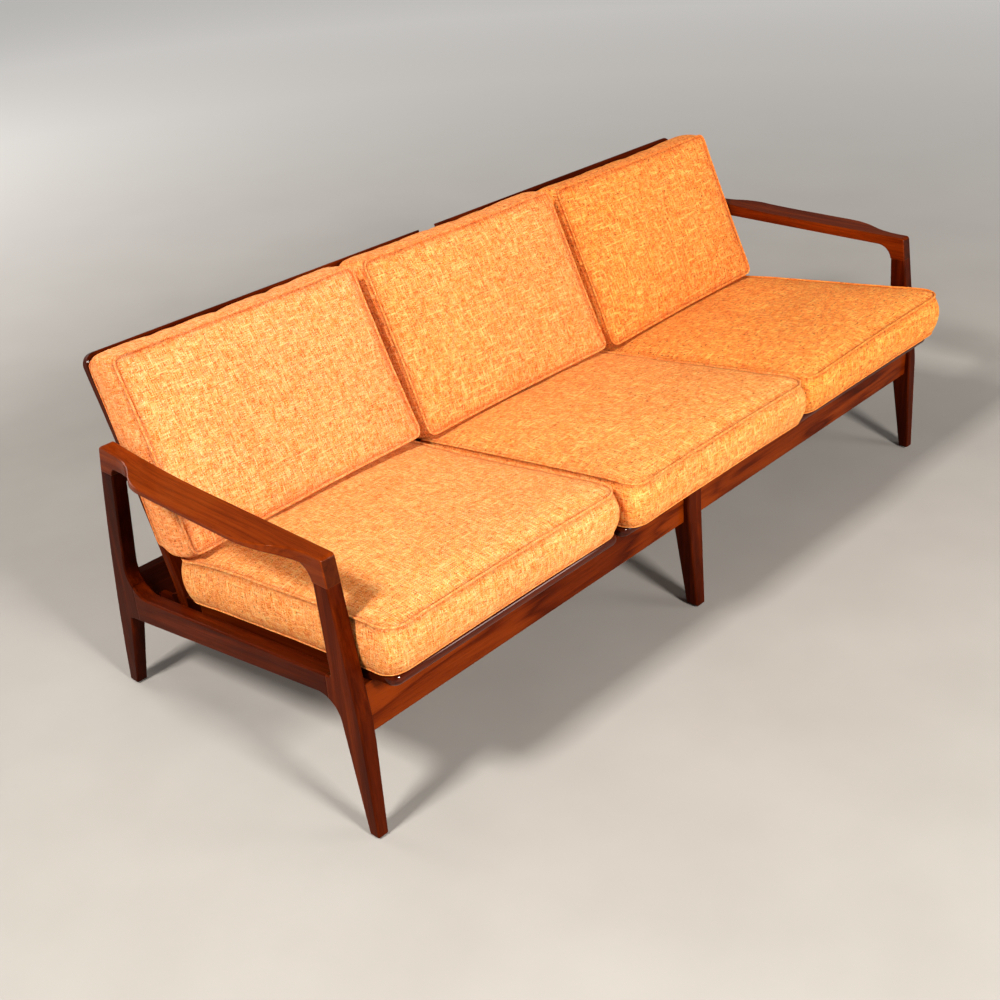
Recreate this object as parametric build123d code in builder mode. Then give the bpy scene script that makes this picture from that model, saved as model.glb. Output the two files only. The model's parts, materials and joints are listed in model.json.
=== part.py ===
# Three-seat sofa with a wooden show frame, sculpted paddle arms, webbed seat frames,
# slatted back frames and six loose boxed cushions.
# Millimetres, +Z up, X along the length, front at -Y, origin on the floor under the middle.
# In side views a point is (depth, height): depth runs back from the toes of the front legs.
from build123d import *
import os
from math import cos, radians, sin, sqrt, tan

os.makedirs("parts", exist_ok=True)

# Overall
seat_span = 1768.0
leg_thickness = 30.0
glide_height = 4.0
foot_taper = 7.0
taper_height = 190.0
arris = 2.5
rail_arris = 3.5

# End frames: front leg
foot_depth = 23.0
shin_rake = 2.5
knee_height = 240.0
thigh_rake = 8.2
knee_radius = 300.0
calf_rake = 9.0
thigh_back_depth = 72.0
thigh_back_height = 330.0
thigh_back_rake = 3.5

# End frames: arm
arm_height = 536.0
arm_thickness = 22.0
arm_level_inset = 360.0
arm_rise = 16.0
arm_nose_radius = 8.0
arm_tail_radius = 10.0
front_block = 51.0
rear_block = 38.0
paddle_width = 41.0
paddle_front = 232.0
paddle_rear_inset = 262.0
paddle_front_sweep = 155.0
paddle_rear_sweep = 130.0
paddle_edge = 8.0
paddle_arris = 3.0

# End frames: rear leg and side rail
heel_depth = 740.0
heel_rake = 4.5
rear_radius = 4250.0
rear_foot_depth = 26.0
shank_rake = 11.3
rear_thigh_inset = 71.0
rear_thigh_height = 262.0
rear_thigh_rake = 8.4
rail_front_height = 265.0
rail_depth = 42.0
rail_rake = 8.8
front_joint_depth = 84.0
rear_joint_inset = 90.0
thigh_rail_radius = 6.0
thigh_arm_radius = 36.0
rear_arm_radius = 14.0
rear_rail_radius = 52.0
calf_rail_radius = 45.0
shank_rail_radius = 6.0

# Cross frame
front_rail_depth = 21.0
front_rail_thickness = 26.0
front_rail_height = 200.0
rear_rail_inset = 70.0
rear_rail_thickness = 22.0
rear_rail_height = 180.0
rear_rail_width = 82.0
cleat_width = 36.0
cleat_height = 22.0
bearer_width = 40.0
bearer_height = 36.0
middle_toe_depth = -9.0
middle_foot_depth = 26.0
middle_foot_width = 28.0
middle_top_width = 46.0
middle_lap = 12.0
middle_shoulder_height = 235.0
post_width = 30.0
post_drop = 8.0

# Seat frames, measured along the tilted seat plane
seat_tilt = 7.4
seat_nose_depth = -39.0
seat_nose_height = 306.0
seat_frame_clearance = 12.0
seat_frame_gap = 10.0
seat_frame_setback = 3.3
seat_frame_thickness = 24.0
seat_front_width = 80.0
seat_rear_width = 45.0
seat_side_width = 45.0
seat_corner_radius = 20.0
strap_count = 6
strap_width = 50.0
strap_thickness = 2.5
strap_bearing = 22.0
strap_recess = 2.6

# Back frames, measured along the raked back plane
back_rake = 21.5
back_leg_lap = 12.7
back_length = 495.0
back_thickness = 21.0
back_bow = 7.0
back_clearance = 12.0
back_gap = 60.0
back_top_width = 40.0
back_bottom_width = 45.0
back_stile_width = 34.0
back_corner_radius = 24.0
back_arris = 3.0
slat_count = 6
slat_width = 45.0
slat_thickness = 8.0
stop_width = 22.0
stop_depth = 18.0
stop_height = 24.0

# Cushions
cushion_margin = 13.0
cushion_gap = 1.5
cushion_corner = 30.0
cushion_draw = 4.0
cushion_clearance = 0.4
seat_cushion_overhang = 23.0
seat_cushion_setback = 2.0
seat_cushion_thickness = 94.0
seat_cushion_crown = 17.0
# How far each loose seat cushion has crept forward
seat_cushion_slip = {"left": 0.0, "centre": 22.0, "right": 14.0}
back_cushion_drop = 15.0
back_cushion_foot_thickness = 115.0
back_cushion_lean = 0.0585
back_cushion_crown = 12.0
wadding = 26.0
# Shares of the thickness between which the foam lies
foam_shares = {"seat": (0.13, 0.87), "back": (0.3, 0.87)}
# How far the cover is drawn in under its base and at its seam
cushion_base_inset = 13.0
cushion_seam_inset = 6.0
# Share of the crown that is reached at each distance in from the side
cushion_crown_steps = [(0.4, 18.0), (0.75, 60.0), (1.0, 150.0)]

# Joinery and hardware
tenon_thickness = 10.0
tenon_width = 18.0
rail_tenon_width = 40.0
side_tenon_width = 26.0
bearer_tenon_width = 16.0
tenon_length = 30.0
bearer_tenon_length = 20.0
joint_clearance = 0.2
glide_radius = 8.5
small_sides = 8
bolt_radius = 3.0
bolt_head_radius = 6.0
bolt_head_height = 4.0
bolt_bite = 20.0
bolt_drop = 20.0
spacer_radius = 6.5

# Worked out from the above
arm_inner = seat_span / 2
leg_outer = arm_inner + leg_thickness
leg_middle = arm_inner + leg_thickness / 2
foot_middle = (arm_inner + foot_taper + leg_outer) / 2
arm_underside = arm_height - arm_thickness
front_joint_height = arm_height - front_block
rear_joint_height = arm_height - rear_block
arm_tail_height = arm_height + arm_rise
front_rail_back = front_rail_depth + front_rail_thickness
rear_rail_top = rear_rail_height + rear_rail_width
rear_joint_depth = heel_depth - rear_joint_inset
rear_rail_depth = heel_depth - rear_rail_inset
rear_rail_back = rear_rail_depth + rear_rail_thickness
rear_thigh_depth = heel_depth - rear_thigh_inset
arm_level_depth = heel_depth - arm_level_inset
paddle_rear = heel_depth - paddle_rear_inset
opening_radii = [thigh_rail_radius, thigh_arm_radius, rear_arm_radius, rear_rail_radius]
under_radii = [0.0, calf_rail_radius, shank_rail_radius, 0.0]
post_height = rear_joint_height - post_drop
bolt_height = rear_joint_height - bolt_drop
seat_frame_span = seat_span - 2 * seat_frame_clearance
back_span = seat_span - 2 * back_clearance
cushion_span = seat_span - 2 * cushion_margin
seat_frame_width = (seat_frame_span - 2 * seat_frame_gap) / 3
seat_pitch = seat_frame_width + seat_frame_gap
bearer_middle = seat_pitch / 2
cushion_width = (cushion_span - 2 * cushion_gap) / 3
cushion_pitch = cushion_width + cushion_gap
seat_cushion_base = seat_frame_thickness + cushion_clearance
tilt = radians(seat_tilt)
rake = radians(back_rake)
# The back frames' rear face laps the rear legs' front edge where the bolts cross both
bolt_edge = rear_thigh_depth - (bolt_height - rear_thigh_height) * tan(radians(rear_thigh_rake))
bolt_rise = bolt_height - seat_nose_height - seat_nose_depth * tan(tilt) - back_bow * sin(rake)
back_base_run = bolt_edge + back_leg_lap + back_bow * cos(rake) - bolt_rise * tan(rake)
back_base_depth = back_base_run / (1 + tan(tilt) * tan(rake))
back_foot_width = back_thickness / cos(rake - tilt)
seat_room = (back_base_depth - seat_nose_depth) / cos(tilt)
seat_frame_depth = seat_room - back_foot_width - seat_frame_setback
seat_cushion_depth = seat_frame_depth + seat_cushion_overhang - seat_cushion_setback
seat_cushion_top = seat_cushion_base + seat_cushion_thickness + seat_cushion_crown
back_cushion_top = back_length - back_cushion_drop
back_cushion_base = back_thickness + back_bow + cushion_clearance
back_cushion_foot = (seat_cushion_top + cushion_clearance) / cos(rake - tilt)
foremost_along = -seat_cushion_overhang - max(seat_cushion_slip.values())
foremost_above = seat_cushion_base + seat_cushion_thickness / 2
foremost = seat_nose_depth + foremost_along * cos(tilt) + foremost_above * sin(tilt)
toe_y = -(foremost + heel_depth) / 2
rear_centre_depth = heel_depth - rear_radius * cos(radians(heel_rake))
rear_centre_height = -rear_radius * sin(radians(heel_rake))


def side(depth, height):
    """A point of a side view."""
    return (toe_y + depth, height)


def rear_edge(height):
    """Depth of the rear legs' swept rear edge at a height."""
    return rear_centre_depth + sqrt(rear_radius**2 - (height - rear_centre_height) ** 2)


def shin(height):
    """Depth of the front legs' front edge below the knee."""
    return height * tan(radians(shin_rake))


def thigh(height):
    """Depth of the front legs' front edge above the knee."""
    return shin(knee_height) + (height - knee_height) * tan(radians(thigh_rake))


def calf(height):
    """Depth of the front legs' rear edge below the side rail."""
    return foot_depth + height * tan(radians(calf_rake))


def thigh_back(height):
    """Depth of the front legs' rear edge above the side rail."""
    return thigh_back_depth + (height - thigh_back_height) * tan(radians(thigh_back_rake))


def rear_thigh(height):
    """Depth of the rear legs' front edge above the side rail."""
    return rear_thigh_depth - (height - rear_thigh_height) * tan(radians(rear_thigh_rake))


def shank(height):
    """Depth of the rear legs' front edge below the side rail."""
    return heel_depth - rear_foot_depth - height * tan(radians(shank_rake))


def rail_foot(depth):
    """Height of the side rails' lower edge."""
    return rail_front_height - (depth - front_joint_depth) * tan(radians(rail_rake))


def rail_top(depth):
    """Height of the side rails' upper edge, which runs with the seat."""
    return rail_front_height + rail_depth - (depth - front_joint_depth) * tan(tilt)


def seat_underside(depth):
    """Height of the plane that the seat and back frames rest on."""
    return seat_nose_height - (depth - seat_nose_depth) * tan(tilt)


def meeting(edge, line, depth):
    """Where a leg edge, given by height, crosses a rail line, given by depth."""
    for _ in range(40):
        depth = edge(line(depth))
    return side(depth, line(depth))


def seat_point(along, above):
    """A point of the side view, measured back along the seat plane and up from it."""
    depth = seat_nose_depth + along * cos(tilt) + above * sin(tilt)
    return Vector(0, toe_y + depth, seat_nose_height - along * sin(tilt) + above * cos(tilt))


def back_point(along, ahead):
    """A point of the side view, measured up the back plane and forward from it."""
    depth = back_base_depth + along * sin(rake) - ahead * cos(rake)
    height = seat_underside(back_base_depth) + along * cos(rake) + ahead * sin(rake)
    return Vector(0, toe_y + depth, height)


def foot_of_back(ahead):
    """Distance along the back plane of the plane that the back frames rest on."""
    return -ahead * tan(rake - tilt)


def bowed(along):
    """How far the back frames bow forward at a distance along them."""
    share = along / back_length
    return 4 * back_bow * share * (1 - share)


def seat_section(x):
    """Plane across the sofa for profiles drawn as (along the seat, above it)."""
    return Plane(seat_point(0, 0) + Vector(x, 0, 0), (0, cos(tilt), -sin(tilt)), (1, 0, 0))


def back_section(x):
    """Plane across the sofa for profiles drawn as (along the back, ahead of it)."""
    return Plane(back_point(0, 0) + Vector(x, 0, 0), (0, sin(rake), cos(rake)), (1, 0, 0))


def plan_of_seat(above):
    """Plane along the seat for outlines drawn as (x, along the seat)."""
    return Plane(seat_point(0, above), (1, 0, 0), (0, sin(tilt), cos(tilt)))


def seat_level(name, share, crown):
    """Front and rear ends of one level of a seat cushion."""
    above = seat_cushion_base + share * seat_cushion_thickness + crown * seat_cushion_crown
    front = -seat_cushion_overhang - seat_cushion_slip[name]
    return seat_point(front, above), seat_point(front + seat_cushion_depth, above)


def back_level(_, share, crown):
    """Lower and upper ends of one level of a back cushion, whose face leans in to its top."""
    low = back_cushion_base + share * back_cushion_foot_thickness + crown * back_cushion_crown
    start = back_cushion_foot + foot_of_back(low)
    high = low - (back_cushion_top - start) * back_cushion_lean
    return back_point(start, low), back_point(back_cushion_top, high)


def level_plane(x, near, far):
    """Plane of one level of a cushion, for outlines drawn as (x, from its near end)."""
    return Plane(near + Vector(x, 0, 0), (1, 0, 0), Vector(1, 0, 0).cross(far - near))


def cushion_plan(reach):
    """Corners and middles of a cushion's plan, from its near end, with the sides drawn in."""
    half = cushion_width / 2
    return [
        (0, cushion_draw),
        (half, 0),
        (half - cushion_draw, reach / 2),
        (half, reach),
        (0, reach - cushion_draw),
        (-half, reach),
        (cushion_draw - half, reach / 2),
        (-half, 0),
    ]


def cushion_crown(level, name):
    """Ends of the crown's steps: seam first, then each step, as near and far points."""
    steps = [(0.0, cushion_seam_inset)] + cushion_crown_steps
    ends = []
    for share, inset in steps:
        near, far = level(name, 1, share)
        along = (far - near).normalized() * inset
        ends.append((near + along, far - along))
    return ends


def sloped(piece):
    """Edges that follow the sculpted outline, without those square to the joints."""
    edges = piece.edges()
    for axis in (Axis.X, Axis.Y, Axis.Z):
        edges = edges.filter_by(axis, reverse=True)
    return edges


def at_edge(x):
    """A test for edges that lie at the outer or gap side of a back frame."""
    return lambda edge: abs(edge.center().X - x) < back_corner_radius / 2


def above_paddle_edge(edge):
    """Whether an edge belongs to the rim round the top of an arm."""
    return edge.center().Z > arm_height - arm_nose_radius


def before_front_rail(edge):
    """Whether an edge stands in front of the front rail's face."""
    return edge.center().Y < toe_y + front_rail_depth - middle_lap / 2


def mortise(size):
    """Size of the hole that takes a tenon or another fitted piece."""
    return [length + 2 * joint_clearance for length in size]


def save(part, name):
    """Label one finished piece and write it."""
    part.label = name
    export_step(part, f"parts/{name}.step")


# Where the bolts cross the rear legs, the middle post and the stiles
bolt_depth = bolt_edge + back_leg_lap / 2
bolt_spot = side(bolt_depth, bolt_height)

# Loose tenons: a middle and a size for each joint that they close
hand = {"left": -1, "right": 1}
rail_tenon_height = (rail_foot(front_joint_depth) + rail_top(front_joint_depth)) / 2
rail_tail_height = (rail_foot(rear_joint_depth) + rail_top(rear_joint_depth)) / 2
front_rail_middle = front_rail_depth + front_rail_thickness / 2
front_rail_mid_height = (front_rail_height + seat_underside(front_rail_middle)) / 2
rear_rail_middle = rear_rail_depth + rear_rail_thickness / 2
rear_rail_mid_height = rear_rail_height + rear_rail_width / 2
arm_front_middle = (thigh(front_joint_height) + thigh_back(front_joint_height)) / 2
arm_rear_middle = (rear_thigh(rear_joint_height) + rear_edge(rear_joint_height)) / 2
upright_tenon = (tenon_thickness, tenon_width, tenon_length)
rail_tenon = (tenon_thickness, tenon_length, side_tenon_width)
cross_tenon = (tenon_length, tenon_thickness, rail_tenon_width)
bearer_tenon = (tenon_thickness, bearer_tenon_length, bearer_tenon_width)
tenons = {}
for name, sign in hand.items():
    joints = {
        "arm_front": (leg_middle, arm_front_middle, front_joint_height, upright_tenon),
        "arm_rear": (leg_middle, arm_rear_middle, rear_joint_height, upright_tenon),
        "rail_front": (leg_middle, front_joint_depth, rail_tenon_height, rail_tenon),
        "rail_rear": (leg_middle, rear_joint_depth, rail_tail_height, rail_tenon),
        "front_rail": (arm_inner, front_rail_middle, front_rail_mid_height, cross_tenon),
        "rear_rail": (arm_inner, rear_rail_middle, rear_rail_mid_height, cross_tenon),
    }
    for end, edge in (("front", front_rail_back), ("rear", rear_rail_depth)):
        height = seat_underside(edge) - bearer_height / 2
        joints[f"bearer_{end}"] = (bearer_middle, edge, height, bearer_tenon)
    for joint, (x, depth, height, size) in joints.items():
        tenons[f"{joint}_{name}"] = ((sign * x, toe_y + depth, height), size)

with BuildPart() as loose_tenons:
    for middle, size in tenons.values():
        with Locations(middle):
            Box(*size)
save(loose_tenons.part, "loose_tenons")

# The side outline that all four pieces of an end frame are sawn from
with BuildSketch(Plane.YZ) as end_frame:
    with BuildLine():
        level_end = side(arm_level_depth, arm_height)
        tail = side(rear_edge(arm_tail_height), arm_tail_height)
        knee = side(shin(knee_height), knee_height)
        nose = side(thigh(arm_height), arm_height)
        FilletPolyline(side(0, 0), knee, nose, level_end, radius=[knee_radius, arm_nose_radius])
        TangentArc(level_end, tail, tangent=(1, 0))
        waist = side(rear_edge(arm_tail_height / 2), arm_tail_height / 2)
        ThreePointArc(tail, waist, side(heel_depth, 0))
        Line(side(heel_depth, 0), side(0, 0))
    make_face()
    fillet(end_frame.vertices().sort_by(Axis.Y)[-1], radius=arm_tail_radius)
    with BuildLine():
        FilletPolyline(
            meeting(thigh_back, rail_top, thigh_back_depth),
            side(thigh_back(arm_underside), arm_underside),
            side(rear_thigh(arm_underside), arm_underside),
            meeting(rear_thigh, rail_top, rear_thigh_depth),
            radius=opening_radii,
            close=True,
        )
    make_face(mode=Mode.SUBTRACT)
    with BuildLine():
        FilletPolyline(
            side(foot_depth, 0),
            meeting(calf, rail_foot, foot_depth),
            meeting(shank, rail_foot, heel_depth),
            side(shank(0), 0),
            radius=under_radii,
            close=True,
        )
    make_face(mode=Mode.SUBTRACT)

# End frames
glide_spots = []
cleat_front = front_joint_depth + joint_clearance
cleat_rear = rear_joint_depth
for name, sign in hand.items():
    inner_plane = Plane.YZ.offset(sign * arm_inner)

    with BuildPart() as front_leg:
        with BuildSketch(inner_plane):
            add(end_frame.sketch_local)
            with BuildLine():
                Polyline(
                    side(-front_joint_depth, glide_height),
                    side(front_joint_depth, glide_height),
                    side(front_joint_depth, front_joint_height),
                    side(-front_joint_depth, front_joint_height),
                    close=True,
                )
            make_face(mode=Mode.INTERSECT)
        extrude(amount=sign * leg_thickness)
        with BuildSketch(Plane.XZ.offset(-toe_y)):
            with BuildLine():
                Polyline(
                    (sign * arm_inner, taper_height),
                    (sign * arm_inner, 0),
                    (sign * (arm_inner + foot_taper), 0),
                    close=True,
                )
            make_face()
        extrude(amount=front_joint_depth, both=True, mode=Mode.SUBTRACT)
        chamfer(sloped(front_leg), length=arris)
        for joint in ("arm_front", "rail_front", "front_rail"):
            middle, size = tenons[f"{joint}_{name}"]
            with Locations(middle):
                Box(*mortise(size), mode=Mode.SUBTRACT)
        foot = (sign * foot_middle, toe_y + (shin(0) + calf(0)) / 2, glide_height)
    glide_spots.append(foot)
    save(front_leg.part, f"front_leg_{name}")

    with BuildPart() as rear_leg:
        with BuildSketch(inner_plane):
            add(end_frame.sketch_local)
            with BuildLine():
                Polyline(
                    side(rear_joint_depth, glide_height),
                    side(2 * rear_joint_depth, glide_height),
                    side(2 * rear_joint_depth, rear_joint_height),
                    side(rear_thigh(arm_height) - leg_thickness, rear_joint_height),
                    side(rear_thigh(arm_height) - leg_thickness, rail_top(0)),
                    side(rear_joint_depth, rail_top(0)),
                    close=True,
                )
            make_face(mode=Mode.INTERSECT)
        extrude(amount=sign * leg_thickness)
        with BuildSketch(Plane.XZ.offset(-toe_y - heel_depth)):
            with BuildLine():
                Polyline(
                    (sign * arm_inner, taper_height - leg_thickness),
                    (sign * arm_inner, 0),
                    (sign * (arm_inner + foot_taper), 0),
                    close=True,
                )
            make_face()
        extrude(amount=rear_joint_depth / 2, both=True, mode=Mode.SUBTRACT)
        chamfer(sloped(rear_leg), length=arris)
        for joint in ("arm_rear", "rail_rear", "rear_rail"):
            middle, size = tenons[f"{joint}_{name}"]
            with Locations(middle):
                Box(*mortise(size), mode=Mode.SUBTRACT)
        foot = (sign * foot_middle, toe_y + heel_depth - rear_foot_depth / 2, glide_height)
        with BuildSketch(inner_plane):
            with Locations(bolt_spot):
                RegularPolygon(bolt_radius + joint_clearance, small_sides)
        extrude(amount=sign * bolt_bite, mode=Mode.SUBTRACT)
    glide_spots.append(foot)
    save(rear_leg.part, f"rear_leg_{name}")

    with BuildPart() as side_rail:
        with BuildSketch(inner_plane):
            add(end_frame.sketch_local)
            with BuildLine():
                Polyline(
                    side(front_joint_depth, 0),
                    side(rear_joint_depth, 0),
                    side(rear_joint_depth, rail_top(0)),
                    side(front_joint_depth, rail_top(0)),
                    close=True,
                )
            make_face(mode=Mode.INTERSECT)
        extrude(amount=sign * leg_thickness)
        chamfer(sloped(side_rail), length=arris)
        for joint in ("rail_front", "rail_rear"):
            middle, size = tenons[f"{joint}_{name}"]
            with Locations(middle):
                Box(*mortise(size), mode=Mode.SUBTRACT)
    save(side_rail.part, f"side_rail_{name}")

    with BuildPart() as arm:
        with BuildSketch(inner_plane):
            add(end_frame.sketch_local)
            with BuildLine():
                Polyline(
                    side(-arm_level_depth, front_joint_height),
                    side(arm_level_depth, front_joint_height),
                    side(arm_level_depth, rear_joint_height),
                    side(2 * heel_depth, rear_joint_height),
                    side(2 * heel_depth, 2 * arm_height),
                    side(-arm_level_depth, 2 * arm_height),
                    close=True,
                )
            make_face(mode=Mode.INTERSECT)
        extrude(amount=sign * (leg_thickness + paddle_width))
        with BuildSketch(Plane.XY.offset(front_joint_height)):
            with BuildLine():
                hip = sign * leg_outer
                wrist = sign * (leg_outer + paddle_width / 2)
                rim = sign * (leg_outer + paddle_width)
                before = toe_y + paddle_front - paddle_front_sweep
                after = toe_y + paddle_rear + paddle_rear_sweep
                front_turn = (wrist, toe_y + paddle_front - paddle_front_sweep / 2)
                rear_turn = (wrist, toe_y + paddle_rear + paddle_rear_sweep / 2)
                front_rim = (rim, toe_y + paddle_front)
                rear_rim = (rim, toe_y + paddle_rear)
                start = toe_y - arm_level_depth
                end = toe_y + 2 * heel_depth
                Polyline((hip, before), (hip, start), (sign * arm_inner, start),
                         (sign * arm_inner, end), (hip, end), (hip, after))
                sweep = TangentArc((hip, before), front_turn, tangent=(0, 1))
                TangentArc(front_turn, front_rim, tangent=sweep % 1)
                Line(front_rim, rear_rim)
                sweep = TangentArc((hip, after), rear_turn, tangent=(0, -1))
                TangentArc(rear_turn, rear_rim, tangent=sweep % 1)
            make_face()
        extrude(amount=arm_height, mode=Mode.INTERSECT)
        with BuildSketch(Plane.XZ.offset(-toe_y)):
            with BuildLine():
                Polyline(
                    (hip, arm_underside),
                    (hip, front_joint_height),
                    (rim, front_joint_height),
                    (rim, arm_height - paddle_edge),
                    close=True,
                )
            make_face()
        extrude(amount=2 * heel_depth, both=True, mode=Mode.SUBTRACT)
        crest = arm.edges().filter_by(Axis.X, reverse=True).filter_by(Axis.Z, reverse=True)
        fillet(crest.filter_by(above_paddle_edge), radius=paddle_arris)
        for joint in ("arm_front", "arm_rear"):
            middle, size = tenons[f"{joint}_{name}"]
            with Locations(middle):
                Box(*mortise(size), mode=Mode.SUBTRACT)
    save(arm.part, f"arm_{name}")

    with BuildPart() as seat_cleat:
        with BuildSketch(inner_plane):
            with BuildLine():
                Polyline(
                    side(cleat_front, seat_underside(cleat_front)),
                    side(cleat_rear, seat_underside(cleat_rear)),
                    side(cleat_rear, seat_underside(cleat_rear) - cleat_height),
                    side(cleat_front, seat_underside(cleat_front) - cleat_height),
                    close=True,
                )
            make_face()
        extrude(amount=-sign * cleat_width)
    save(seat_cleat.part, f"seat_cleat_{name}")

# Cross frame
with BuildPart() as front_rail:
    with BuildSketch(Plane.YZ.offset(-arm_inner)):
        with BuildLine():
            Polyline(
                side(front_rail_depth, front_rail_height),
                side(front_rail_back, front_rail_height),
                side(front_rail_back, seat_underside(front_rail_back)),
                side(front_rail_depth, seat_underside(front_rail_depth)),
                close=True,
            )
        make_face()
    extrude(amount=seat_span)
    fillet(front_rail.edges().filter_by(Axis.X).group_by(Axis.Z)[0], radius=rail_arris)
    for name in hand:
        for joint in ("front_rail", "bearer_front"):
            middle, size = tenons[f"{joint}_{name}"]
            with Locations(middle):
                Box(*mortise(size), mode=Mode.SUBTRACT)
save(front_rail.part, "front_rail")

with BuildPart() as rear_rail:
    with BuildSketch(Plane.YZ.offset(-arm_inner)):
        with BuildLine():
            Polyline(
                side(rear_rail_depth, rear_rail_height),
                side(rear_rail_back, rear_rail_height),
                side(rear_rail_back, rear_rail_top),
                side(rear_rail_depth, rear_rail_top),
                close=True,
            )
        make_face()
    extrude(amount=seat_span)
    for name in hand:
        for joint in ("rear_rail", "bearer_rear"):
            middle, size = tenons[f"{joint}_{name}"]
            with Locations(middle):
                Box(*mortise(size), mode=Mode.SUBTRACT)
save(rear_rail.part, "rear_rail")

for name, sign in hand.items():
    with BuildPart() as seat_bearer:
        with BuildSketch(Plane.YZ.offset(sign * bearer_middle - bearer_width / 2)):
            with BuildLine():
                Polyline(
                    side(front_rail_back, seat_underside(front_rail_back)),
                    side(rear_rail_depth, seat_underside(rear_rail_depth)),
                    side(rear_rail_depth, seat_underside(rear_rail_depth) - bearer_height),
                    side(front_rail_back, seat_underside(front_rail_back) - bearer_height),
                    close=True,
                )
            make_face()
        extrude(amount=bearer_width)
        for joint in ("bearer_front", "bearer_rear"):
            middle, size = tenons[f"{joint}_{name}"]
            with Locations(middle):
                Box(*mortise(size), mode=Mode.SUBTRACT)
    save(seat_bearer.part, f"seat_bearer_{name}")

# The middle leg laps over the front rail's face and is notched under it
lap_depth = front_rail_depth - middle_lap
with BuildPart() as middle_front_leg:
    with BuildSketch(Plane.YZ.offset(-middle_top_width / 2)):
        with BuildLine():
            toe = side(middle_toe_depth, glide_height)
            lap_top = side(lap_depth, seat_underside(lap_depth))
            shoulder = side(lap_depth, middle_shoulder_height)
            FilletPolyline(toe, shoulder, lap_top, radius=knee_radius)
            Polyline(
                toe,
                side(middle_toe_depth + middle_foot_depth, glide_height),
                side(front_rail_back, front_rail_height),
                side(front_rail_depth, front_rail_height),
                side(front_rail_depth, seat_underside(front_rail_depth)),
                lap_top,
            )
        make_face()
    extrude(amount=middle_top_width)
    with BuildSketch(Plane.XZ.offset(-toe_y)):
        with BuildLine():
            for sign in hand.values():
                FilletPolyline(
                    (sign * middle_foot_width / 2, 0),
                    (sign * middle_top_width / 2, middle_shoulder_height),
                    (sign * middle_top_width / 2, seat_nose_height),
                    radius=knee_radius,
                )
            Line((-middle_foot_width / 2, 0), (middle_foot_width / 2, 0))
            top = seat_nose_height
            Line((-middle_top_width / 2, top), (middle_top_width / 2, top))
        make_face()
    extrude(amount=2 * front_rail_back, both=True, mode=Mode.INTERSECT)
    arrises = middle_front_leg.edges().filter_by(Axis.X, reverse=True)
    chamfer(arrises.filter_by(before_front_rail), length=arris)
    foot = (0, toe_y + middle_toe_depth + middle_foot_depth / 2, glide_height)
glide_spots.append(foot)
save(middle_front_leg.part, "middle_front_leg")

# The rear middle leg is housed over the rear rail and goes on up between the back frames
with BuildPart() as middle_rear_leg:
    with BuildSketch(Plane.YZ.offset(-post_width / 2)):
        with BuildLine():
            crown = side(rear_edge(post_height), post_height)
            heel = side(rear_edge(glide_height), glide_height)
            waist = side(rear_edge(post_height / 2), post_height / 2)
            ThreePointArc(heel, waist, crown)
            Polyline(
                crown,
                side(rear_thigh(post_height), post_height),
                side(rear_thigh(rear_rail_top), rear_rail_top),
                side(rear_rail_back, rear_rail_top),
                side(rear_rail_back, rear_rail_height),
                side(shank(rear_rail_height), rear_rail_height),
                side(shank(glide_height), glide_height),
                heel,
            )
        make_face()
    extrude(amount=post_width)
    chamfer(sloped(middle_rear_leg), length=arris)
    with BuildSketch(Plane.YZ.offset(-post_width / 2)):
        with Locations(bolt_spot):
            RegularPolygon(bolt_radius + joint_clearance, small_sides)
    extrude(amount=post_width, mode=Mode.SUBTRACT)
    foot = (0, toe_y + heel_depth - rear_foot_depth / 2, glide_height)
glide_spots.append(foot)
save(middle_rear_leg.part, "middle_rear_leg")

with BuildPart() as foot_glides:
    with BuildSketch(Plane.XY):
        with Locations(*[(x, y) for x, y, _ in glide_spots]):
            RegularPolygon(glide_radius, small_sides)
    extrude(amount=glide_height)
save(foot_glides.part, "foot_glides")

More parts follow.
